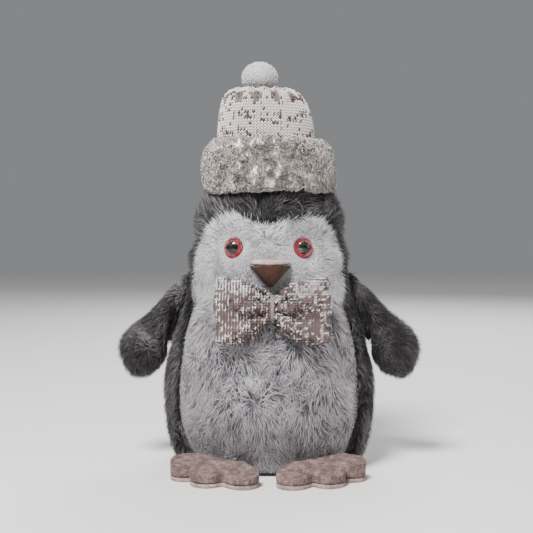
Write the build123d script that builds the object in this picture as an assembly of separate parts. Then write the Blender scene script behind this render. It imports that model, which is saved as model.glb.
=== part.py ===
"""Plush penguin with a knitted hat and a bow tie, as the pieces it is sewn from.

Millimetres, +Z up. The penguin faces -Y and stands on the floor at Z 0.
The origin is the centre of the flat base. Left and right are the viewer's, from the front.
"""
import os
from math import atan, cos, radians, sin, sqrt

from build123d import *

os.makedirs("parts", exist_ok=True)

# ---- driving dimensions -------------------------------------------------------------------
# Head and body, level by level: height, half width, half depth, centre Y.
BODY_LEVELS = [
    (0, 60, 48, -2),
    (12, 66.5, 55, -2.5),
    (34, 71, 59.5, -3),
    (60, 72, 60, -3),
    (84, 69.5, 57, -2),
    (108, 62.5, 51, -1.5),
    (132, 55.5, 46.5, -1),
    (152, 53, 45.5, -1),
    (172, 50, 44, -0.5),
    (187, 46, 41, 0),
    (197, 41.5, 38, 1),
    (209, 37.5, 35, 1),
    (219, 31, 29.5, 0),
    (228, 21, 20, -1),
    (232, 13, 12, -1),
]
SKIN = 4.0  # sewn pile fabric, backing and pile together
GAP = 0.3  # room between a cover and what fills it
BASE = 3.0  # base panel
BOARD = 2.0  # stiffener on the base panel
PELLET_TOP = 32.0  # the weighted pouch fills the belly up to here

# White front, right-hand half of its seam as (x, z): brow, cheek and neck, then belly.
BROW = [(0, 170), (10, 173.5), (25, 177), (39, 169.5), (47, 153), (50.5, 136), (50, 119.5)]
FLANK = [(50, 119.5), (57, 99), (61.5, 64), (59.5, 30), (50, 8), (40, -5)]

# Hat
CROWN_LEVELS = [  # height, half width, half depth, centre X
    (214, 35.5, 34, -1),
    (228, 35.3, 34, -2),
    (249, 33, 32, -3),
    (261.5, 29.2, 28.6, -4.2),
    (268.5, 21.5, 21.5, -6),
]
CUFF_LEVELS = [
    (196, 46, 43.5, 0),
    (204, 47, 45, 0),
    (214, 46, 43.5, -0.5),
    (226, 43, 40.5, -1),
    (231, 38.5, 37, -1.5),
]
HAT_Y = -2.0
KNIT = 2.0
CUFF_BACK_Y = 14.0  # the cuff is a band round the front and sides, sewn down behind the ears
POMPOM_X, POMPOM_R, POMPOM_RISE = -6.8, 12.6, 11.2  # it is a little flatter than it is wide
DIMPLE_R, DIMPLE_Z = 14.6, 265.4

# Eyes: 14 mm safety eyes
EYE_X, EYE_Z, EYE_R = 24.4, 155.7, 7.0
PUPIL_R, STEM_R, STEM_LENGTH, WASHER_R = 3.7, 2.0, 15.0, 6.0
DISC, DOME, EYE_POCKET = 0.7, 4.4, 2.2
WASHER_DEPTH = 8.5

# Beak
BEAK_X, BEAK_TOP, BEAK_WIDTH, BEAK_DROP, BEAK_REACH = 1.5, 147.5, 35.0, 20.0, 66.0
FELT = 2.2

# Bow tie, from its middle outwards: distance, height, thickness
BOW_STEPS = [(0, 14, 7), (5, 16.5, 8), (13, 27, 12.5), (24, 39, 14), (34, 44, 11), (38.5, 42, 6)]
BOW_X, BOW_Z, BOW_THREAD = 3.0, 113.0, 1.1

# Wings, left one: outer and inner edge points (x, z) and half thickness, root to tip
WING_STEPS = [
    ((-59.9, 131.2), (-71.0, 93.5), 5.2),
    ((-69, 126), (-77.0, 87), 9.5),
    ((-77.5, 115.8), (-76.8, 78.5), 12.5),
    ((-87, 105), (-80.5, 72), 12.5),
    ((-97, 96), (-88, 66.5), 11.5),
    ((-104, 87.5), (-96.5, 65.5), 7.5),
    ((-105.5, 80), (-101.5, 69.5), 2.6),
]
STITCHES, STITCH_R, STITCH_OFFSET = 6, 0.4, 1.2  # sewn on a seam that the wing swings about

# Feet, left one: heel and the middles of three toes as (x, y, radius)
HEEL = (-35, -56, 14.0)
TOES = [(-16.5, -80, 11.0), (-40, -75, 11.5), (-56, -60, 10.0)]
SOLE, UPPER, FOOT_BACK_Z, FOOT_FRONT_Z = 3.0, 2.2, 17.0, 6.5
FOOT_SPLAY = 14.0
FOOT_HINGE = (-33, -47, 2.0)
FOOT_LIFT = 18.0

# Care label in the centre back seam
LABEL = (24.0, 0.6, 18.0)
LABEL_Z, LABEL_CLEAR = 40.0, 1.2

BIG = 400.0
PARTS = {}


# ---- helpers ------------------------------------------------------------------------------
def stack(levels, grow=0.0, y=None):
    """Lofts ellipses level by level. A level is (z, half x, half y, centre): the centre is
    a Y, or an X where y is given."""
    faces = []
    for z, half_x, half_y, centre in levels:
        at = (0, centre, z) if y is None else (centre, y, z)
        faces.append(Plane(origin=at) * Ellipse(half_x + grow, half_y + grow))
    return loft(faces)


def slab(z_low, z_high):
    """Everything between two heights."""
    return Pos(0, 0, (z_low + z_high) / 2) * Box(BIG, BIG, z_high - z_low)


def half(side, axis):
    """The half space on one side, -1 or 1, of X 0 or Y 0."""
    shift = side * BIG / 2
    at = Pos(shift, 0, 0) if axis == "x" else Pos(0, shift, 0)
    return at * Box(BIG, BIG, 2 * BIG)


def solid_of(shape):
    """The shape's solids as one compound, or the only solid."""
    solids = sorted(shape.solids(), key=lambda s: s.volume, reverse=True)
    kept = [s for s in solids if s.volume > 1.0]
    return kept[0] if len(kept) == 1 else Compound(kept)


def add(name, shape):
    """Keeps a finished sub-part under its node name."""
    PARTS[name] = solid_of(shape)


def mirrored(shape):
    return mirror(shape, about=Plane.YZ)


def body_at(z):
    """Half width, half depth and centre Y of the body at a height, between its levels."""
    for low, high in zip(BODY_LEVELS, BODY_LEVELS[1:]):
        if low[0] <= z <= high[0]:
            t = (z - low[0]) / (high[0] - low[0])
            return [a + t * (b - a) for a, b in zip(low[1:], high[1:])]
    raise ValueError(z)


def front_y(x, z):
    """Y of the body's front surface."""
    half_x, half_y, centre = body_at(z)
    return centre - half_y * sqrt(1 - (x / half_x) ** 2)


def seam_face(right_half):
    """A closed XZ face from the right-hand half of an outline, mirrored to the left."""
    edge = Spline([(x, 0, z) for x, z in right_half])
    top, foot = right_half[0][1], right_half[-1]
    edges = [edge, mirror(edge, about=Plane.YZ)]
    edges.append(Line((foot[0], 0, foot[1]), (-foot[0], 0, foot[1])))
    if right_half[0][0] > 0:
        edges.append(Line((right_half[0][0], 0, top), (-right_half[0][0], 0, top)))
    return make_face(edges)


# ---- head and body ------------------------------------------------------------------------
body = stack(BODY_LEVELS)
body_clear = stack(BODY_LEVELS, GAP)
top_z = BODY_LEVELS[-1][0]
hollow = stack(BODY_LEVELS, -SKIN) & slab(BASE - 1, top_z - SKIN)
filling = stack(BODY_LEVELS, -SKIN - GAP)
eye_drop = atan((BODY_LEVELS[6][1] - BODY_LEVELS[8][1]) / 40)  # lean of the cheek at the eyes


def eye_plane(side):
    """Plane on the face at an eye, its Z pointing straight out of the cheek."""
    half_x, half_y, centre = body_at(EYE_Z)
    x, y = side * EYE_X, front_y(EYE_X, EYE_Z)
    outward = Vector(x / half_x**2, (y - centre) / half_y**2, 0).normalized()
    outward = (outward + Vector(0, 0, 0.5 * sin(eye_drop))).normalized()
    return Plane(origin=(x, y, EYE_Z), z_dir=outward)


def cylinder(plane, radius, low, high):
    """A cylinder on a plane's Z, between two heights above it."""
    return plane.location * Pos(0, 0, (low + high) / 2) * Cylinder(radius, high - low)


def make_body():
    skin = (body & slab(BASE + 0.1, BIG)) - hollow
    prism_depth = 90
    face_prism = extrude(seam_face(BROW), amount=prism_depth, dir=(0, -1, 0))
    belly_prism = extrude(seam_face(FLANK), amount=prism_depth, dir=(0, -1, 0))
    front, back = skin & half(-1, "y"), skin & half(1, "y")
    face, belly = front & face_prism, front & belly_prism
    hood = (front - face_prism) - belly_prism
    for side in (-1, 1):
        plane = eye_plane(side)
        face = face - cylinder(plane, EYE_R + GAP, -EYE_POCKET, 10)
        face = face - cylinder(plane, STEM_R + 0.1, -20, 0)
    add("face_panel", face)
    add("belly_panel", belly)
    add("hood_panel", hood)
    add("back_panel_left", back & half(-1, "x"))
    add("back_panel_right", back & half(1, "x"))
    add("base_panel", body & slab(0, BASE))

    board_top = BASE + GAP + BOARD
    add("base_board", filling & slab(BASE + GAP, board_top))
    add("pellet_pouch", filling & slab(board_top + GAP, PELLET_TOP))
    core = filling & slab(PELLET_TOP + GAP, top_z - SKIN - GAP)
    for side in (-1, 1):
        plane = eye_plane(side)
        core = core - cylinder(plane, STEM_R + GAP, -STEM_LENGTH - 1, 0)
        core = core - cylinder(plane, WASHER_R + GAP, -WASHER_DEPTH - 2, -SKIN)
    add("body_stuffing", core)


def make_eyes():
    washers = []
    for side, name in ((-1, "left"), (1, "right")):
        plane = eye_plane(side)
        seat = -EYE_POCKET + GAP
        back = cylinder(plane, EYE_R, seat, seat + 1)
        back += cylinder(plane, STEM_R, seat - STEM_LENGTH + 2, seat)
        paint = seat + 1
        iris = cylinder(plane, EYE_R - 0.1, paint, paint + DISC)
        iris -= cylinder(plane, PUPIL_R + 0.05, paint - 1, paint + 2)
        pupil = cylinder(plane, PUPIL_R, paint, paint + DISC)
        glass = paint + DISC
        ball = (EYE_R**2 + DOME**2) / (2 * DOME)  # radius of a dome EYE_R wide, DOME high
        dome = plane.location * Pos(0, 0, glass + DOME - ball) * Sphere(ball)
        dome = dome & cylinder(plane, 3 * EYE_R, glass, glass + 2 * DOME)
        add(f"eye_stem_{name}", back)
        add(f"eye_iris_{name}", iris)
        add(f"eye_pupil_{name}", pupil)
        add(f"eye_dome_{name}", dome)
        washer = cylinder(plane, WASHER_R, -WASHER_DEPTH - 1.2, -WASHER_DEPTH)
        washers.append(washer - cylinder(plane, STEM_R + 0.05, -30, 0))
    add("eye_washers", Compound(washers))


# ---- beak ---------------------------------------------------------------------------------
def beak_form(inset=0.0):
    """A stuffed wedge: flat on top, its sides running down and back to a point at the chin."""
    faces = []
    for y, share, corner in ((-40, 1.0, 3.0), (-52, 0.92, 3.0), (-59, 0.66, 2.6)):
        width, drop = share * BEAK_WIDTH, share * BEAK_DROP
        faces.append(beak_section(y, width, drop, corner, inset))
    faces.append(beak_section(-BEAK_REACH + inset, 0.24 * BEAK_WIDTH, 0.22 * BEAK_DROP, 1.2, 0))
    return loft(faces)


def beak_section(y, width, drop, corner, inset):
    top = BEAK_TOP - inset
    w, low = width / 2 - inset, BEAK_TOP - drop + inset
    outline = Polyline((-w, top), (w, top), (0, low), close=True)
    face = fillet(make_face(outline).vertices(), max(corner - inset, 0.4))
    at = Plane(origin=(BEAK_X, y, 0), x_dir=(1, 0, 0), z_dir=(0, -1, 0))
    return at * face


def make_beak():
    form = beak_form() - body_clear
    inner = beak_form(FELT)
    split = BEAK_TOP - FELT
    cover = form & slab(0, split)
    add("beak_upper", form & slab(split, BIG))
    add("beak_lower", (cover - inner).solids().sort_by(SortBy.VOLUME)[-1])
    add("beak_stuffing", (beak_form(FELT + 5 * GAP) - body_clear) & slab(0, split - GAP))


# ---- hat ----------------------------------------------------------------------------------
def make_hat():
    crown = stack(CROWN_LEVELS, y=HAT_Y)
    crown_top = CROWN_LEVELS[-1][0]
    depth = crown_top - DIMPLE_Z
    dimple = Pos(POMPOM_X, HAT_Y, DIMPLE_Z + depth) * Cylinder(DIMPLE_R, 2 * depth)
    shell_top = DIMPLE_Z - KNIT
    room = stack(CROWN_LEVELS, -KNIT, y=HAT_Y) & slab(0, shell_top)
    add("hat_crown", (crown - dimple) - room - body_clear)
    pad = stack(CROWN_LEVELS, -KNIT - GAP, y=HAT_Y) & slab(0, shell_top - GAP)
    add("hat_stuffing", pad - body_clear)
    cuff = stack(CUFF_LEVELS, y=HAT_Y) - body_clear - stack(CROWN_LEVELS, GAP, y=HAT_Y)
    add("hat_cuff", cuff & (Pos(0, CUFF_BACK_Y, 0) * half(-1, "y")))

    ball = Pos(POMPOM_X, HAT_Y, DIMPLE_Z + GAP + POMPOM_RISE)
    squash = (1, 1, POMPOM_RISE / POMPOM_R)
    tack_room = Pos(POMPOM_X, HAT_Y, DIMPLE_Z) * Cylinder(2.6, 8)
    add("pompom", ball * scale(Sphere(POMPOM_R), by=squash) - tack_room)
    loop = Pos(POMPOM_X, HAT_Y, DIMPLE_Z + 1.7) * Rot(90, 0, 0) * Torus(1.0, 0.4)
    add("pompom_thread", loop)


# ---- bow tie ------------------------------------------------------------------------------
def bow_plane():
    """Plane of the bow, lying along the chest, with its Z out of the chest."""
    low, high = BOW_Z - 22, BOW_Z + 22
    lean = atan((front_y(0, high) - front_y(0, low)) / (high - low))
    clear = BOW_STEPS[3][2] / 2 + 1.2
    seat = (front_y(0, low) + front_y(0, high)) / 2
    outward = Vector(0, -cos(lean), sin(lean))
    return Plane(origin=Vector(BOW_X, seat, BOW_Z) + outward * clear, x_dir=(1, 0, 0), z_dir=outward)


def make_bow():
    steps = [(-x, h, t) for x, h, t in reversed(BOW_STEPS[1:])] + BOW_STEPS
    faces = []
    for x, height, thick in steps:
        at = Plane(origin=(x, 0, 0), x_dir=(0, 1, 0), z_dir=(1, 0, 0))
        faces.append(at * RectangleRounded(height, thick, 0.45 * thick))
    place = bow_plane().location
    fabric = loft(faces)
    across = Plane(origin=(-BOW_THREAD, 0, 0), x_dir=(0, 1, 0), z_dir=(1, 0, 0))
    height, thick = BOW_STEPS[0][1] + 2.0, BOW_STEPS[0][2] + 2.0
    ring = RectangleRounded(height + 1.6, thick + 1.6, 0.4 * thick)
    ring -= RectangleRounded(height, thick, 0.4 * thick)
    add("bow_fabric", place * fabric)
    add("bow_thread", place * (across * extrude(ring, amount=2 * BOW_THREAD)))


# ---- wings --------------------------------------------------------------------------------
def wing_section(outer, inner, thick):
    a, b = Vector(outer[0], 0, outer[1]), Vector(inner[0], 0, inner[1])
    along = (b - a).normalized()
    at = Plane(origin=(a + b) * 0.5, x_dir=along, z_dir=along.cross(Vector(0, 1, 0)))
    return at * Ellipse((b - a).length / 2, thick)


def shrunk(shape, gap):
    """The shape pulled in towards its middle by about the same gap on every side."""
    size = shape.bounding_box().size
    by = tuple(1 - 2 * gap / s for s in (size.X, size.Y, size.Z))
    return scale(shape, about=shape.center(), by=by)


def make_wings():
    form = loft([wing_section(*step) for step in WING_STEPS])
    shell = form - shrunk(form, SKIN - 1)
    pad = shrunk(form, SKIN - 1 + GAP)
    top, foot = [Vector(x + STITCH_OFFSET, 0, z) for x, z in WING_STEPS[0][:2]]
    step = (foot - top) / (2 * STITCHES - 1)
    stitches = []
    for i in range(STITCHES):
        start = top + step * (2 * i)
        rod = Plane(origin=start, z_dir=step).location * Pos(0, 0, step.length / 2)
        stitches.append(rod * Cylinder(STITCH_R, step.length))
    pieces = {
        "front": shell & half(-1, "y"),
        "back": shell & half(1, "y"),
        "stuffing": pad,
        "stitches": Compound(stitches),
    }
    for name, shape in pieces.items():
        add(f"wing_left_{name}", shape)
        add(f"wing_right_{name}", mirrored(shape))


# ---- feet ---------------------------------------------------------------------------------
def foot_outline():
    """Three round toes spreading from the heel, with webs between them."""
    hx, hy, hr = HEEL
    outline = Pos(hx, hy) * Circle(hr)
    for x, y, r in TOES:
        length = sqrt((x - hx) ** 2 + (y - hy) ** 2)
        along = Vector(x - hx, y - hy, 0).normalized()
        side = Vector(-along.Y, along.X, 0)
        ends = [Vector(hx, hy, 0) + side * r, Vector(x, y, 0) + side * r]
        ends += [Vector(x, y, 0) - side * r, Vector(hx, hy, 0) - side * r]
        outline += make_face(Polyline(*ends, close=True))
        outline += Pos(x, y) * Circle(r)
        assert length > r
    return outline


def foot_block(outline, drop):
    """The outline raised to a top that slopes from the ankle down to the toes."""
    front_y_, back_y = -98.0, -42.0
    profile = Polyline(
        (back_y, 0), (back_y, FOOT_BACK_Z - drop), (front_y_, FOOT_FRONT_Z - drop), (front_y_, 0), close=True
    )
    wedge = extrude(Plane.YZ * make_face(profile), amount=BIG / 2, both=True)
    return extrude(outline, amount=40) & wedge


def make_feet():
    hinge = Axis(FOOT_HINGE, (cos(radians(FOOT_SPLAY)), -sin(radians(FOOT_SPLAY)), 0))
    away = stack(BODY_LEVELS[:4], 2 * GAP)
    outline = foot_outline()
    inset = offset(outline, amount=-UPPER)
    pad_line = offset(outline, amount=-UPPER - GAP)
    upper = (foot_block(outline, 0) & slab(SOLE, BIG)) - (foot_block(inset, UPPER) & slab(0, BIG))
    pad = foot_block(pad_line, UPPER + GAP) & slab(SOLE + GAP, BIG)
    sole = extrude(outline, amount=SOLE - 0.1)
    pieces = {"upper": upper, "padding": pad, "sole": sole}
    for angle in (-6, 0, 4, 8, 12, 16, FOOT_LIFT + 1):
        turned = away.rotate(hinge, angle)
        pieces = {name: shape - turned for name, shape in pieces.items()}
    for name, shape in pieces.items():
        add(f"foot_left_{name}", shape)
        add(f"foot_right_{name}", mirrored(shape))


# ---- label --------------------------------------------------------------------------------
def make_label():
    long, thin, tall = LABEL
    half_y, centre = body_at(LABEL_Z)[1:]
    at = Pos(0.8 + long / 2, centre + half_y + LABEL_CLEAR, LABEL_Z)
    add("care_label", at * Box(long, thin, tall))


make_body()
make_eyes()
make_beak()
make_hat()
make_bow()
make_wings()
make_feet()
make_label()

for node, shape in PARTS.items():
    export_step(shape, f"parts/{node}.step")
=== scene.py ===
"""Looks of a plush penguin: pile fabric, felt, curly cuff, knit hat and bow, safety eyes.

Metres, in the CAD model's frame: the penguin stands on Z 0 and faces -Y. MM is one millimetre.
"""
import math

import bmesh
import bpy
import numpy as np
from mathutils import Matrix, Vector
from mathutils.bvhtree import BVHTree


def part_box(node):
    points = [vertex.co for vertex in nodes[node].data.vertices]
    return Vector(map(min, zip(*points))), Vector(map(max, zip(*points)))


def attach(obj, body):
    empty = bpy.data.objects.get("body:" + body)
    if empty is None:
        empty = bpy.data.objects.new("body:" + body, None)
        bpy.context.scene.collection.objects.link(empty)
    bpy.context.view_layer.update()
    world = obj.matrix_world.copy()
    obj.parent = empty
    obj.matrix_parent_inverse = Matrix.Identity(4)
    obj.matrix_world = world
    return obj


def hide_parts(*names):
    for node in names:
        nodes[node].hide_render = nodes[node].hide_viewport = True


MM = 0.001
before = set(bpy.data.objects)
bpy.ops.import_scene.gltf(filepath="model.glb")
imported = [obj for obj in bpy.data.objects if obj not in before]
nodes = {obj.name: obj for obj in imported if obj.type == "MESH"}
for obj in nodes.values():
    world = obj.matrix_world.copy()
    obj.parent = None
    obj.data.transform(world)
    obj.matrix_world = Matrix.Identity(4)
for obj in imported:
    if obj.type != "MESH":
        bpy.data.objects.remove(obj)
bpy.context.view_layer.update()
rng = np.random.default_rng(7)

# The pile lies away from these places: the face parts from between the eyes
BROW_CENTRE = np.array([0, -45, 160]) * MM
EYES = [sum((Vector(c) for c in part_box(f"eye_dome_{side}")), Vector()) / 2 for side in ("left", "right")]
EYE_CLEAR = 8.2 * MM
BEAK = np.array(sum((Vector(c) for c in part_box("beak_upper")), Vector()) / 2) - [0, 0, 6 * MM]
HAT_BAND_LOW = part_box("hat_cuff")[0][2]
POMPOM_AT = (-6.8 * MM, -2 * MM)

# The seams the wings swing on, each a middle and a direction, left then right
WING_SEAMS = [
    (np.array([sign * 65.45, 0, 112.35]) * MM, np.array([-sign * 0.2824, 0, 0.9593]))
    for sign in (-1, 1)
]
SEAM_REACH = 24 * MM  # from a seam's middle to its ends
SEAM_ROLL = (4 * MM, 4 * MM, 26 * MM)  # half sizes of the rolled seam, its length last
HOOD_LAP_TOP = 118 * MM  # below this the hood's pile leans over the belly's edge
CUFF_OPEN_Y = 14 * MM  # the cuff ends here, towards the back
POMPOM_CLEAR = 13.8 * MM  # no stitches nearer to the pompom's middle


# ---- materials ----------------------------------------------------------------------------
def linear(code):
    """An sRGB hex colour as linear RGBA."""
    channels = [int(code[i:i + 2], 16) / 255 for i in (0, 2, 4)]
    out = [c / 12.92 if c <= 0.04045 else ((c + 0.055) / 1.055) ** 2.4 for c in channels]
    return (*out, 1.0)


def node(tree, kind, settings=None, **links):
    """Adds a node. settings are its properties, or its sockets' values by name; links are by
    socket name, with _ for a space, each from another node's socket."""
    made = tree.nodes.new(kind)
    for key, value in (settings or {}).items():
        if key in made.inputs:
            made.inputs[key].default_value = value
        else:
            setattr(made, key, value)
    for key, source in links.items():
        tree.links.new(source, made.inputs[key.replace("_", " ")])
    return made


def ramp(tree, source, *stops):
    made = node(tree, "ShaderNodeValToRGB", Fac=source)
    marks = made.color_ramp.elements
    while len(marks) < len(stops):
        marks.new(0.5)
    for mark, (place, code) in zip(marks, stops):
        mark.position = place
        mark.color = linear(code)
    return made.outputs["Color"]


def finish(name, roughness, sheen=0.0, **values):
    """A material with a Principled shader, and its tree and shader."""
    made = bpy.data.materials.new(name)
    made.use_nodes = True
    shader = made.node_tree.nodes["Principled BSDF"]
    shader.inputs["Roughness"].default_value = roughness
    shader.inputs["Sheen Weight"].default_value = sheen
    for key, value in values.items():
        shader.inputs[key.replace("_", " ")].default_value = value
    return made, made.node_tree, shader


def pile(name, root, middle, tip, light=None, sheen=0.1):
    """Polyester pile. Colour runs along each tuft, from a root in shade to a paler tip, and from
    tuft to tuft; the map holds (tone, place along the tuft)."""
    made, tree, shader = finish(name, 0.75, sheen=sheen)
    uv = node(tree, "ShaderNodeUVMap", {"uv_map": "OFBake"})
    split = node(tree, "ShaderNodeSeparateXYZ", Vector=uv.outputs["UV"])
    along = ramp(tree, split.outputs["Y"], (0.0, root), (0.45, middle), (1.0, tip))
    if light is None:
        tree.links.new(along, shader.inputs["Base Color"])
        return made
    pale = ramp(tree, split.outputs["Y"], (0.0, root), (1.0, light))
    pick = ramp(tree, split.outputs["X"], (0.5, "000000"), (0.8, "ffffff"))
    mix = node(tree, "ShaderNodeMix", {"data_type": "RGBA"})
    tree.links.new(pick, mix.inputs[0])
    tree.links.new(along, mix.inputs[6])
    tree.links.new(pale, mix.inputs[7])
    tree.links.new(mix.outputs[2], shader.inputs["Base Color"])
    return made


def felt(name, dark, base, pale, grain=0.5, bump=0.25):
    """Heather felt: matted fibres of a few shades, grain in millimetres, matt with a soft edge."""
    made, tree, shader = finish(name, 0.95, sheen=0.08)
    place = node(tree, "ShaderNodeTexCoord").outputs["Object"]
    fine = node(tree, "ShaderNodeTexNoise", {"Scale": 1 / (grain * MM) / 2, "Detail": 5.0}, Vector=place)
    broad = node(tree, "ShaderNodeTexNoise", {"Scale": 1 / (5 * MM), "Detail": 2.0}, Vector=place)
    both = node(tree, "ShaderNodeMath", {"operation": "ADD"})
    tree.links.new(fine.outputs["Fac"], both.inputs[0])
    tree.links.new(broad.outputs["Fac"], both.inputs[1])
    half = node(tree, "ShaderNodeMath", {"operation": "MULTIPLY"})
    tree.links.new(both.outputs[0], half.inputs[0])
    half.inputs[1].default_value = 0.5
    colour = ramp(tree, half.outputs[0], (0.32, dark), (0.5, base), (0.68, pale))
    tree.links.new(colour, shader.inputs["Base Color"])
    raised = node(tree, "ShaderNodeBump", {"Strength": bump, "Distance": 0.3 * MM})
    tree.links.new(fine.outputs["Fac"], raised.inputs["Height"])
    tree.links.new(raised.outputs["Normal"], shader.inputs["Normal"])
    return made


def plain(name, code, roughness, **values):
    made, _, shader = finish(name, roughness, **values)
    shader.inputs["Base Color"].default_value = linear(code)
    return made


# Dark and matt, with frosted tips here and there
CHARCOAL = pile("charcoal pile plush", "0c0b0c", "201d1e", "423e3e", light="a9a5a5", sheen=0.03)
# Soft white, bright at its tips, with painted shade: grey at the roots between the tufts
WHITE = pile("white pile plush", "8d898e", "f2f0f2", "ffffff", light="cbc7cc")
# The same white grown longer, painted darker than the face's white: deeper painted shade at its roots, and
# painted shade over the belly for the shadow under the head and bow
WHITE_LONG_SHADED = pile("long white pile plush with painted shade", "524e53", "c2bec3", "f6f4f6", light="857f87")
# Matt pinkish cream curls
SHERPA = pile("curly sherpa pile", "f8dfd8", "fff2ec", "fffaf7")
# Cream yarn with brown flecks, and painted shade: dark roots that fill the gaps between the stitches
CREAM = pile("cream marled yarn", "2f221e", "a89b97", "efe9e7", light="3f2923")
# Brown yarn plied with white, which shows as pale flecks
MARL = pile("brown marled yarn", "1f1413", "5a4644", "7b6765", light="ffffff")
# White fibre felted into a ball, with a fuzz
POMPOM = pile("white felted fibre", "a09ca0", "e6e4e6", "ffffff")
# Mottled brown-pink felt, matt
TAUPE = felt("taupe heather felt", "3a2927", "64504c", "9b837d")
# A paler felt, seen as a thin edge under the feet
TAUPE_SOLE = felt("pale taupe felt", "6f5b57", "93807a", "b7a49e")
# Dark chestnut felt, close grained
BEAK_BROWN = felt("brown felt", "2a140c", "47291d", "62402f", grain=0.4)
# Pinkish grey felt, close grained
BEAK_PALE = felt("pale heather felt", "8f7b76", "b8a5a0", "d8cac6", grain=0.4)
# Dark short cloth under the body
CLOTH = felt("short pile base cloth", "2b2829", "3f3b3c", "555052")
# Fine weave, near white
TAPE = felt("satin label tape", "d8d8d8", "e4e4e4", "f0f0f0", grain=0.25, bump=0.1)
# Loose white fibre, coarse and soft
FIBREFILL = felt("polyester fibrefill", "dcdcdc", "ececec", "fafafa", grain=0.8, bump=0.4)
# Brown-grey thread, finely twisted
THREAD = felt("twisted thread", "5d4d4a", "7a6a67", "988a87", grain=0.3)
# Waxy off-white, slightly dull
WASHER = plain("white moulded polypropylene", "e6e6e2", 0.45)
# Smooth and deep, with sharp highlights
PUPIL = plain("black moulded acrylic", "1b2423", 0.12)
# A glossy red ring
IRIS = plain("red translucent enamel", "cf4149", 0.22, Coat_Weight=0.6)
# Clear, seen by its highlight
DOME = plain("clear moulded acrylic", "ffffff", 0.03, Transmission_Weight=1.0, IOR=1.49)


# ---- shapes -------------------------------------------------------------------------------
def merged(name):
    """A copy of a CAD node's mesh with its loose corners joined, as a bmesh."""
    mesh = bmesh.new()
    mesh.from_mesh(nodes[name].data)
    bmesh.ops.remove_doubles(mesh, verts=mesh.verts, dist=0.01 * MM)
    return mesh


def soft(name, voxel, smooth=6):
    """A CAD node's shape with its corners worn round, as a new mesh: remeshed and smoothed."""
    mesh = merged(name)
    data = bpy.data.meshes.new(f"{name}_form")
    mesh.to_mesh(data)
    mesh.free()
    thing = bpy.data.objects.new(f"{name}_form", data)
    bpy.context.collection.objects.link(thing)
    remesh = thing.modifiers.new("even", "REMESH")
    remesh.mode = "VOXEL"
    remesh.voxel_size = voxel
    wear = thing.modifiers.new("wear", "SMOOTH")
    wear.iterations = smooth
    evaluated = thing.evaluated_get(bpy.context.evaluated_depsgraph_get())
    result = bpy.data.meshes.new_from_object(evaluated)
    bpy.data.objects.remove(thing)
    return result


def triangles(mesh):
    """Corners of a mesh's triangles as an array (n, 3, 3)."""
    mesh.calc_loop_triangles()
    corners = np.zeros(len(mesh.vertices) * 3)
    mesh.vertices.foreach_get("co", corners)
    index = np.zeros(len(mesh.loop_triangles) * 3, int)
    mesh.loop_triangles.foreach_get("vertices", index)
    return corners.reshape(-1, 3)[index].reshape(-1, 3, 3)


def spots(mesh, count, keep):
    """count points spread evenly by area over the triangles that keep says, with their normals."""
    tri = triangles(mesh)
    cross = np.cross(tri[:, 1] - tri[:, 0], tri[:, 2] - tri[:, 0])
    area = np.linalg.norm(cross, axis=1)
    normal = cross / np.maximum(area, 1e-15)[:, None]
    area = area * keep(tri.mean(1), normal)
    chosen = rng.choice(len(tri), count, p=area / area.sum())
    a, b = rng.random((2, count, 1))
    flip = (a + b) > 1
    a, b = np.where(flip, 1 - a, a), np.where(flip, 1 - b, b)
    t = tri[chosen]
    return t[:, 0] + a * (t[:, 1] - t[:, 0]) + b * (t[:, 2] - t[:, 0]), normal[chosen]


def tuft_form():
    """One tuft of pile, 1 long and 1 wide: a three-sided point with a full middle."""
    mesh = bmesh.new()
    bmesh.ops.create_cone(mesh, cap_ends=False, segments=3, radius1=0.5, radius2=0.0, depth=1)
    bmesh.ops.translate(mesh, verts=mesh.verts, vec=(0, 0, 0.5))
    cut = mesh.verts[:] + mesh.edges[:] + mesh.faces[:]
    bmesh.ops.bisect_plane(mesh, geom=cut, plane_co=(0, 0, 0.45), plane_no=(0, 0, 1))
    return closed(mesh, 3)


def closed(mesh, sides):
    """The form with its open ends of that many sides filled, and its faces turned outwards."""
    bmesh.ops.holes_fill(mesh, edges=mesh.edges[:], sides=sides)
    bmesh.ops.recalc_face_normals(mesh, faces=mesh.faces[:])
    return mesh


def curl_form():
    """One curl of sherpa: a thin open ring that stands on its ends, 1 across."""
    mesh = bmesh.new()
    made = bmesh.ops.create_circle(mesh, segments=4, radius=0.2)
    bmesh.ops.rotate(mesh, verts=made["verts"], cent=(0, 0, 0),
                     matrix=Matrix.Rotation(math.pi / 2, 3, "X"))
    bmesh.ops.translate(mesh, verts=made["verts"], vec=(0.42, 0, 0))
    bmesh.ops.spin(mesh, geom=mesh.verts[:] + mesh.edges[:], cent=(0, 0, 0), axis=(0, -1, 0),
                   angle=1.35 * math.pi, steps=6, use_merge=False)
    return closed(mesh, 4)


def stitch_form():
    """One knit stitch, 1 wide and 1 tall: two plump legs that lean together at the foot."""
    mesh = bmesh.new()
    for side in (-1, 1):
        leg = bmesh.ops.create_icosphere(mesh, subdivisions=1, radius=0.5)["verts"]
        bmesh.ops.scale(mesh, verts=leg, vec=(0.36, 1.4, 0.6))
        turn = Matrix.Rotation(-side * 0.5, 3, "Z")
        bmesh.ops.rotate(mesh, verts=leg, cent=(0, 0, 0), matrix=turn)
        bmesh.ops.translate(mesh, verts=leg, vec=(side * 0.25, 0, 0))
    return mesh


def three_sided(form):
    """A form's faces cut into triangles from each one's lowest corner and sorted, so that they come
    out the same on each run."""
    faces = []
    for face in form.faces:
        ring = [v.index for v in face.verts]
        start = ring.index(min(ring))
        ring = ring[start:] + ring[:start]
        faces += [(ring[0], *ring[i:i + 2]) for i in range(1, len(ring) - 1)]
    return np.array(sorted(faces))


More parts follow.
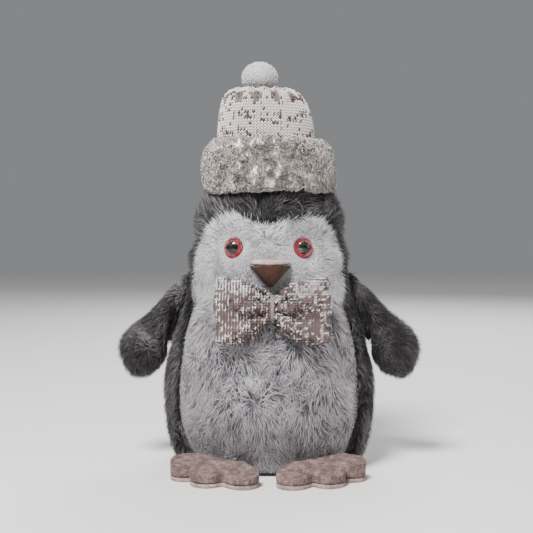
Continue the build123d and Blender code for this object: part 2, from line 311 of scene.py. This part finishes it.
def repeat(form, sides, ups, outs, at, tone, bend=None, split=0.012):
    """Copies of a form, one at each place, as (points, faces, uv). sides, ups and outs are what the
    form's X, Y and Z become; bend is how far a copy's end is carried, growing with its Z squared;
    split is how far its two sides' tones differ."""
    form.verts.index_update()
    corner = np.array([v.co for v in form.verts])
    face = three_sided(form)
    x, y, z = (corner[None, :, i, None] for i in range(3))
    points = at[:, None] + x * sides[:, None] + y * ups[:, None] + z * outs[:, None]
    if bend is not None:
        points = points + z * z * bend[:, None]
    span = corner[:, 2].max() - corner[:, 2].min()
    along = (corner[:, 2] - corner[:, 2].min()) / span
    shift = split * np.sign(corner[:, 0])
    uv = np.zeros((len(at), len(corner), 2))
    uv[..., 0] = 0.02 + 0.96 * np.clip(tone[:, None] + shift, 0, 1)
    uv[..., 1] = 0.02 + 0.96 * along
    faces = face[None] + len(corner) * np.arange(len(at))[:, None, None]
    form.free()
    return points.reshape(-1, 3), faces.reshape(-1, 3), uv.reshape(-1, 2)


def covered(name, skin, cover, material, body, replaced, shade=0.06):
    """A piece made of a skin mesh and what stands on it, in one mesh. shade is the place along a
    tuft that the skin takes its colour from."""
    skin.calc_loop_triangles()
    base = np.zeros(len(skin.vertices) * 3)
    skin.vertices.foreach_get("co", base)
    base = base.reshape(-1, 3)
    under = np.zeros(len(skin.loop_triangles) * 3, int)
    skin.loop_triangles.foreach_get("vertices", under)
    points, faces, uv = cover
    low = np.tile([[0.3, shade]], (len(base), 1)) + 0.01 * rng.random((len(base), 2))
    points, uv = np.vstack([base, points]), np.vstack([low, uv])
    points[:, 2] = np.maximum(points[:, 2], 0)
    faces = np.vstack([under.reshape(-1, 3), faces + len(base)])
    data = bpy.data.meshes.new(name)
    data.vertices.add(len(points))
    data.vertices.foreach_set("co", points.ravel())
    data.loops.add(faces.size)
    data.loops.foreach_set("vertex_index", faces.ravel().astype(np.int32))
    data.polygons.add(len(faces))
    data.polygons.foreach_set("loop_start", np.arange(0, faces.size, 3, dtype=np.int32))
    layer = data.uv_layers.new(name="OFBake")
    layer.data.foreach_set("uv", uv[faces.ravel()].ravel())
    data.update(calc_edges=True)
    data.validate()
    data.shade_smooth()
    return placed(name, data, material, body, replaced)


def placed(name, data, material, body, replaced):
    thing = bpy.data.objects.new(name, data)
    bpy.context.collection.objects.link(thing)
    data.materials.clear()
    data.materials.append(material)
    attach(thing, body)
    if replaced:
        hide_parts(*replaced)
    return thing


def unit(v):
    return v / np.maximum(np.linalg.norm(v, axis=-1, keepdims=True), 1e-9)


# ---- pile ---------------------------------------------------------------------------------
def anywhere(centre, normal):
    """Every triangle is fit to hold a tuft."""
    return np.ones(len(centre))


def outward(centre, normal):
    """Whether a triangle of the body's panels is on the outside."""
    axis = centre.copy()
    axis[:, 0], axis[:, 1] = 0, -0.001
    axis[:, 2] = np.clip(centre[:, 2], 40 * MM, 190 * MM)
    return (unit(centre - axis) * normal).sum(1) > 0.45


def pile_cover(at, normal, flow, length, width, tone, lift=0.55, curl=2.2):
    """Tufts lying along flow, standing off the cloth by lift."""
    flow = unit(flow - (flow * normal).sum(1, keepdims=True) * normal)
    wild = 0.4 * rng.standard_normal(at.shape)
    swirl = np.random.default_rng(5).standard_normal((3, 8, 3)) / (5 * MM)
    phase = np.arange(8) * 2.1
    wild += curl * np.stack([np.sin(at @ w.T + phase).mean(1) for w in swirl], axis=1)
    flow = unit(flow + wild - (wild * normal).sum(1, keepdims=True) * normal)
    side = np.cross(normal, flow)
    start = unit(lift * 1.5 * normal + 0.5 * flow)
    size = length[:, None]
    bend = size * (0.45 * flow - 0.3 * lift * normal)
    spin = rng.uniform(0, math.tau, (len(at), 1))
    width = width * rng.uniform(0.7, 1.3, (len(at), 1))
    u = width * (np.cos(spin) * side + np.sin(spin) * np.cross(side, start))
    v = width * (-np.sin(spin) * side + np.cos(spin) * np.cross(side, start))
    return repeat(tuft_form(), u, v, size * start, at - 0.4 * MM * normal, tone, bend)


def seam_room(at):
    """0 on a wing's seam to 1 clear of it: the pile lies short and flat where a wing closes on it."""
    gaps = []
    for middle, along in WING_SEAMS:
        apart = at - middle
        near = np.clip(apart @ along, -SEAM_REACH, SEAM_REACH)
        gaps.append(np.linalg.norm(apart - near[:, None] * along, axis=1))
    return fade(np.min(gaps, axis=0), 3 * MM, 20 * MM, 0)


def fade(distance, start, span, least):
    """From least, at or before start, up to 1 where the distance is a span further."""
    return np.clip((distance - start) / span, least, 1)


def clumps(at, pitch):
    """A smooth random value by place, so neighbouring tufts share a tone."""
    waves = np.random.default_rng(3).standard_normal((6, 3)) / pitch
    phases = np.arange(6) * 1.7
    return 0.5 + 0.5 * np.sin(at @ waves.T + phases).mean(1) * 1.6


def body_pile(name, node_name, material, count, length, width=0.62 * MM):
    """Pile on one of the body's panels: short round the eyes, under the hat and over the brow."""
    at, normal = spots(nodes[node_name].data, count, outward)
    size = np.full(count, length) * rng.uniform(0.75, 1.2, count)
    near_eye = np.min([np.linalg.norm(at - np.array(e), axis=1) for e in EYES], axis=0)
    size *= fade(near_eye, 6 * MM, 14 * MM, 0.28)
    near_beak = np.linalg.norm((at - BEAK)[:, [0, 2]], axis=1)
    size *= fade(near_beak, 6 * MM, 14 * MM, 0.22)
    banded = (at[:, 2] > HAT_BAND_LOW - 2 * MM) & (at[:, 1] < CUFF_OPEN_Y)
    size[banded | (at[:, 2] > 222 * MM)] *= 0.2
    size *= fade(at[:, 2], 0, 14 * MM, 0.35)
    room = seam_room(at)
    over_foot = (at[:, 1] < -30 * MM) & (at[:, 2] < 45 * MM)
    room = np.where(over_foot, fade(at[:, 2], 18 * MM, 27 * MM, 0), room)
    size *= 0.5 + 0.5 * room
    if node_name == "belly_panel":  # the white thins out where the charcoal laps over it
        band = np.round(at[:, 2] / (6 * MM)).astype(int)
        widest = np.ones(band.max() + 1)
        for b in np.unique(band):
            widest[b] = np.abs(at[band == b, 0]).max()
        size *= fade(widest[band] - np.abs(at[:, 0]), 0, 11 * MM, 0.2)
    down = np.tile([0.0, 0, -1], (count, 1))
    if node_name == "hood_panel":  # and the charcoal leans over the white at its edge
        lean = (at[:, 2] < HOOD_LAP_TOP) & (at[:, 1] < -10 * MM)
        down[:, 0] = np.where(lean, -1.5 * np.sign(at[:, 0]), 0)
    away = unit(at - BROW_CENTRE)
    share = np.clip((at[:, 2:3] - 0.115) / 0.03, 0, 1) * (at[:, 1:2] < 0)
    tone = np.clip(0.55 * rng.random(count) + 0.45 * clumps(at, 6 * MM), 0, 1)
    kept = near_eye > EYE_CLEAR
    cover = pile_cover(at[kept], normal[kept], (share * away + (1 - share) * down)[kept],
                       size[kept], width, tone[kept], lift=(0.12 + 0.43 * room)[kept, None])
    made = covered(name, nodes[node_name].data.copy(), cover, material, "body", [node_name])


def make_body():
    for side in ("left", "right"):
        body_pile(f"back_pile_{side}", f"back_panel_{side}", CHARCOAL, 14500, 8 * MM)
    body_pile("hood_pile", "hood_panel", CHARCOAL, 17000, 7.5 * MM)
    body_pile("face_pile", "face_panel", WHITE, 14000, 6 * MM, 0.5 * MM)
    # The belly's white carries painted shade: the shadow under the head and bow
    body_pile("belly_pile", "belly_panel", WHITE_LONG_SHADED, 17500, 9 * MM)


def seam_roll(sign):
    """The rolled seam a wing hangs on. It is round about the line the wing swings on, so it closes
    the gap to the body the same way at every angle."""
    middle, along = WING_SEAMS[0 if sign < 0 else 1]
    mesh = bmesh.new()
    corners = bmesh.ops.create_icosphere(mesh, subdivisions=3, radius=1)["verts"]
    bmesh.ops.scale(mesh, verts=corners, vec=SEAM_ROLL)
    turn = Vector((0, 0, 1)).rotation_difference(Vector(along)).to_matrix()
    bmesh.ops.rotate(mesh, verts=corners, cent=(0, 0, 0), matrix=turn)
    bmesh.ops.translate(mesh, verts=corners, vec=Vector(middle))
    data = bpy.data.meshes.new("seam_roll")
    mesh.to_mesh(data)
    mesh.free()
    return data


def together(first, second):
    """Two covers as one."""
    return (np.vstack([first[0], second[0]]), np.vstack([first[1], second[1] + len(first[0])]),
            np.vstack([first[2], second[2]]))


def make_wings():
    for side, sign in (("left", -1), ("right", 1)):
        for face, facing in (("front", -1), ("back", 1)):
            part = f"wing_{side}_{face}"
            middle = sum((Vector(c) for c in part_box(part)), Vector()) / 2

            def outer(centre, normal):
                away = centre - np.array([middle.x, 0, middle.z])
                return ((away * normal).sum(1) > 0) & (normal[:, 1] * facing > -0.05)

            at, normal = spots(nodes[part].data, 8500, outer)
            flow = np.tile([0.62 * sign, 0, -0.78], (len(at), 1))
            room = seam_room(at)
            size = 7 * MM * rng.uniform(0.7, 1.2, len(at)) * (0.45 + 0.55 * room)
            tone = np.clip(0.6 * rng.random(len(at)) + 0.4 * clumps(at, 6 * MM), 0, 1)
            cover = pile_cover(at, normal, flow, size, 0.6 * MM, tone, lift=(0.1 + 0.45 * room)[:, None])
            skin = nodes[part].data.copy()
            if face == "front":
                roll = seam_roll(sign)
                at, normal = spots(roll, 1400, anywhere)
                size = 4.5 * MM * rng.uniform(0.7, 1.2, len(at))
                flow = np.tile([0.2 * sign, 0, -1.0], (len(at), 1))
                tone = np.clip(0.6 * rng.random(len(at)) + 0.4 * clumps(at, 6 * MM), 0, 1)
                cover = together(cover, pile_cover(at, normal, flow, size, 0.6 * MM, tone, lift=0.3))
                mesh = bmesh.new()
                mesh.from_mesh(skin)
                mesh.from_mesh(roll)
                mesh.to_mesh(skin)
                mesh.free()
            thing = covered(f"wing_pile_{side}_{face}", skin, cover, CHARCOAL,
                            f"wing_{side}", [part])


# ---- hat and bow --------------------------------------------------------------------------
def make_cuff():
    """Rows of curls on a lumpy band."""
    skin = soft("hat_cuff", 1.6 * MM)
    places = np.array([v.co for v in skin.vertices])
    for corner, lump in zip(skin.vertices, clumps(places, 7 * MM)):
        corner.co += corner.normal * (lump - 0.45) * 3.6 * MM
    skin.update()
    middle = Vector((0, -2 * MM, 212 * MM))

    def outer(centre, normal):
        away = centre - np.array(middle)
        away[:, 2] *= 0.6
        return (unit(away) * normal).sum(1) > 0.25

    count = 3300
    at, normal = spots(skin, count, outer)
    turn = unit(rng.standard_normal((count, 3)))
    side = unit(turn - (turn * normal).sum(1, keepdims=True) * normal)
    size = rng.uniform(3.0, 5.4, (count, 1)) * MM
    tone = rng.random(count)
    ups = np.cross(normal, side) + 0.4 * normal
    cover = repeat(curl_form(), size * side, size * ups, size * 0.75 * normal, at + 0.5 * MM * normal, tone)
    covered("cuff_curls", skin, cover, SHERPA, "body", ["hat_cuff"], 0.9)


def knit_tones(row, column, band):
    """Marl runs along the yarn: flecks that come in bands of rows."""
    waved = row + 1.2 * np.sin(column * 0.2)
    chance = np.where(np.sin(waved * band) > 0.1, 0.42, 0.08)
    return 0.4 * rng.random(len(row)) + 0.6 * (rng.random(len(row)) < chance)


def make_hat():
    """Rows of stitches round the crown, drawn into gathers at its top."""
    skin = soft("hat_crown", 1.4 * MM, 4)
    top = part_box("hat_crown")[1][2]
    for corner in skin.vertices:  # gathers: pleats that run in to the pompom
        drawn = min(max((corner.co.z - top + 16 * MM) / (12 * MM), 0), 1)
        angle = math.atan2(corner.co.y + 2 * MM, corner.co.x + 6 * MM)
        corner.co -= corner.normal * drawn * 1.3 * MM * (1 + math.sin(13 * angle + 2 * math.sin(angle)))
    skin.update()
    tree = BVHTree.FromPolygons([v.co for v in skin.vertices], [p.vertices[:] for p in skin.polygons])
    low, high = (Vector(c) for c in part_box("hat_crown"))
    middle = (low + high) / 2
    pitch, rise, columns = 2.5 * MM, 2.0 * MM, 88
    rows = []
    levels = int((high.z - low.z - 11 * MM) / rise) + 24
    for row in range(levels):
        z = low.z + 2 * MM + rise * row
        tilt = 0.0
        if z > high.z - 9 * MM:  # past the shoulder the rows run in over the top
            tilt = min(1.4, (z - (high.z - 9 * MM)) / rise * 0.058)
        for column in range(columns):
            angle = math.tau * column / columns
            outwards = Vector((math.cos(angle), math.sin(angle), 0))
            aim = (outwards * math.cos(tilt) + Vector((0, 0, math.sin(tilt)))).normalized()
            centre = Vector((middle.x - 2 * MM, middle.y, min(z, high.z - 9 * MM)))
            hit, normal, _, _ = tree.ray_cast(centre + aim * 0.1, -aim)
            if hit is None:
                continue
            under_pompom = math.hypot(hit.x - POMPOM_AT[0], hit.y - POMPOM_AT[1]) < POMPOM_CLEAR
            if not (under_pompom and hit.z > top - 8 * MM):
                rows.append((hit, normal, row, column))
    at = np.array([r[0] for r in rows])
    normal = np.array([r[1] for r in rows])
    row, column = np.array([r[2] for r in rows]), np.array([r[3] for r in rows])
    up = np.tile([0, 0, 1.0], (len(at), 1))
    inward = np.c_[middle.x - at[:, 0], middle.y - at[:, 1], np.zeros(len(at))]
    up = unit(np.where(normal[:, 2:3] > 0.6, inward, up))
    up = unit(up - (up * normal).sum(1, keepdims=True) * normal)
    side = np.cross(up, normal)
    radius = np.linalg.norm(at[:, :2] - np.array([middle.x - 2 * MM, middle.y]), axis=1)
    width = np.clip(math.tau * radius / columns, 0.5 * MM, pitch)[:, None]
    cover = repeat(stitch_form(), side * width * 1.05, up * rise * 1.25, normal * 2.3 * MM, at,
                   knit_tones(row, column, 0.9), split=0.16)
    # The knit's skin takes the yarn's dark root colour: painted shade in the gaps between the stitches
    piece = covered("hat_knit", skin, cover, CREAM, "body", ["hat_crown"], 0.12)


def make_bow():
    """A knitted strip drawn in at its middle: folds run out from the thread, stitches follow."""
    skin = soft("bow_fabric", 1.0 * MM, 3)
    low, high = (np.array(c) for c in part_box("bow_fabric"))
    middle = (low + high) / 2
    for corner in skin.vertices:
        dx, dz = corner.co.x - middle[0], corner.co.z - middle[2]
        reach = min(abs(dx) / (38 * MM), 1)
        ripple = math.sin(9 * math.atan2(dz, abs(dx) + 3 * MM) + 0.8) * (1 - 0.6 * reach)
        puff = 0.8 * math.sin(math.pi * min(reach * 1.1, 1)) if corner.co.y < middle[1] else 0
        fold = 4.4 if corner.co.y < middle[1] else 2
        corner.co += corner.normal * (ripple * fold + puff * 3) * MM * min(1, abs(dx) / (6 * MM))
    skin.update()
    tree = BVHTree.FromPolygons([v.co for v in skin.vertices], [p.vertices[:] for p in skin.polygons])
    found = []
    pitch, rise = 2.0 * MM, 1.7 * MM
    for facing in (-1, 1):
        for row in range(int((high[2] - low[2]) / rise) + 1):
            for column in range(int((high[0] - low[0]) / pitch) + 1):
                x, z = low[0] + pitch * (column + 0.5), low[2] + rise * row
                start = Vector((x, middle[1] + facing * 60 * MM, z))
                hit, normal, _, _ = tree.ray_cast(start, Vector((0, -facing, 0)))
                if hit is not None:
                    found.append((hit, normal, row, column))
    at, normal = np.array([f[0] for f in found]), np.array([f[1] for f in found])
    row, column = np.array([f[2] for f in found]), np.array([f[3] for f in found])
    spread = at - middle
    up = unit(np.c_[0 * at[:, 0], 0 * at[:, 0], 1 + 0 * at[:, 0]] + 12 * spread * [1, 0, 0])
    up = unit(up - (up * normal).sum(1, keepdims=True) * normal)
    side = np.cross(up, normal)
    rim = (spread[:, 2] > 0.33 * (high[2] - low[2]) * np.clip(np.abs(spread[:, 0]) / (34 * MM), 0.3, 1))
    chance = np.where(clumps(at, 2.4 * MM) > 0.62, 0.75, 0.22) + 0.6 * rim
    tone = 0.5 * rng.random(len(at)) + 0.5 * (rng.random(len(at)) < chance)
    cover = repeat(stitch_form(), side * pitch * 1.02, up * rise * 1.25, normal * 1.9 * MM, at, tone,
                   split=0.2)
    covered("bow_knit", skin, cover, MARL, "bow_tie", ["bow_fabric"], 0.2)


# ---- felt ---------------------------------------------------------------------------------
def felt_piece(name, part, body, material, voxel=0.9 * MM, smooth=3, grow=0.0):
    """A felt piece with worn corners and a slightly uneven face."""
    data = soft(part, voxel, smooth)
    places = np.array([v.co for v in data.vertices])
    swell = (clumps(places, 7 * MM) - 0.5) * 0.5 * MM
    for corner, by in zip(data.vertices, swell):
        corner.co += corner.normal * (by + grow)
        corner.co.z = max(corner.co.z, 0)
    data.shade_smooth()
    thing = placed(name, data, material, body, [part])
    return thing


def make_felt():
    for side in ("left", "right"):
        felt_piece(f"foot_felt_{side}", f"foot_{side}_upper", f"foot_{side}", TAUPE)
        felt_piece(f"foot_underside_{side}", f"foot_{side}_sole", f"foot_{side}", TAUPE_SOLE)
    felt_piece("base_cloth", "base_panel", "body", CLOTH, 1.5 * MM, 2)
    felt_piece("beak_top_felt", "beak_upper", "body", BEAK_PALE, 0.5 * MM, 2, 0.3 * MM)
    felt_piece("beak_felt", "beak_lower", "body", BEAK_BROWN, 0.5 * MM, 2, 0.3 * MM)
    fluffy = soft("pompom", 0.9 * MM, 2)
    at, normal = spots(fluffy, 3600, anywhere)
    size = 1.7 * MM * rng.uniform(0.5, 1.2, len(at))
    flow = unit(rng.standard_normal(at.shape))
    cover = pile_cover(at, normal, flow, size, 0.5 * MM, rng.random(len(at)))
    ball = covered("pompom_fibre", fluffy, cover, POMPOM, "pompom_ball", ["pompom"])


def dress_nodes():
    """Better finishes on the CAD nodes that stay."""
    looks = {"eye_iris": IRIS, "eye_pupil": PUPIL, "eye_stem": PUPIL, "eye_dome": DOME}
    for start, look in looks.items():
        for side in ("left", "right"):
            repaint(f"{start}_{side}", look)
    for side in ("left", "right"):
        repaint(f"wing_{side}_stitches", THREAD)
        repaint(f"wing_{side}_stuffing", FIBREFILL)
        repaint(f"foot_{side}_padding", FIBREFILL)
    for name in ("pompom_thread", "bow_thread"):
        repaint(name, THREAD)
    for name in ("body_stuffing", "hat_stuffing", "beak_stuffing"):
        repaint(name, FIBREFILL)
    repaint("eye_washers", WASHER)
    repaint("care_label", TAPE)
    for name in ("base_board", "pellet_pouch"):
        repaint(name, CLOTH)


def repaint(name, look):
    data = nodes[name].data
    for i in range(len(data.materials)):
        data.materials[i] = look


# ---- studio -------------------------------------------------------------------------------
def make_studio():
    mesh = bmesh.new()
    bmesh.ops.create_grid(mesh, x_segments=1, y_segments=1, size=3)
    data = bpy.data.meshes.new("floor")
    mesh.to_mesh(data)
    mesh.free()
    floor = bpy.data.objects.new("floor", data)
    bpy.context.collection.objects.link(floor)
    data.materials.append(plain("pale studio floor", "e6e3e1", 0.8))
    world = bpy.data.worlds.new("studio")
    world.use_nodes = True
    world.node_tree.nodes["Background"].inputs["Color"].default_value = linear("eef0f4")
    world.node_tree.nodes["Background"].inputs["Strength"].default_value = 0.28
    bpy.context.scene.world = world
    for name, place, size, power in (
        ("key", (-0.35, -0.75, 1.25), 0.4, 46),
        ("fill", (1.4, -0.5, 0.5), 0.6, 3.5),
        ("back", (0.3, 1.1, 1.0), 0.8, 16),
    ):
        data = bpy.data.lights.new(name, "AREA")
        data.size = size
        data.energy = power
        lamp = bpy.data.objects.new(name, data)
        lamp.location = place
        lamp.rotation_euler = (Vector((0, 0, 0.13)) - Vector(place)).to_track_quat("-Z", "Y").to_euler()
        bpy.context.collection.objects.link(lamp)


def make_camera():
    data = bpy.data.cameras.new("camera")
    data.lens = 69.7
    camera = bpy.data.objects.new("camera", data)
    camera.location = (0.0111, -0.75, 0.1714)
    camera.rotation_euler = (math.radians(90 - 2.3), 0, math.radians(1.0))
    bpy.context.collection.objects.link(camera)
    bpy.context.scene.camera = camera


make_body()
make_wings()
make_cuff()
make_hat()
make_bow()
make_felt()
dress_nodes()
make_studio()
make_camera()
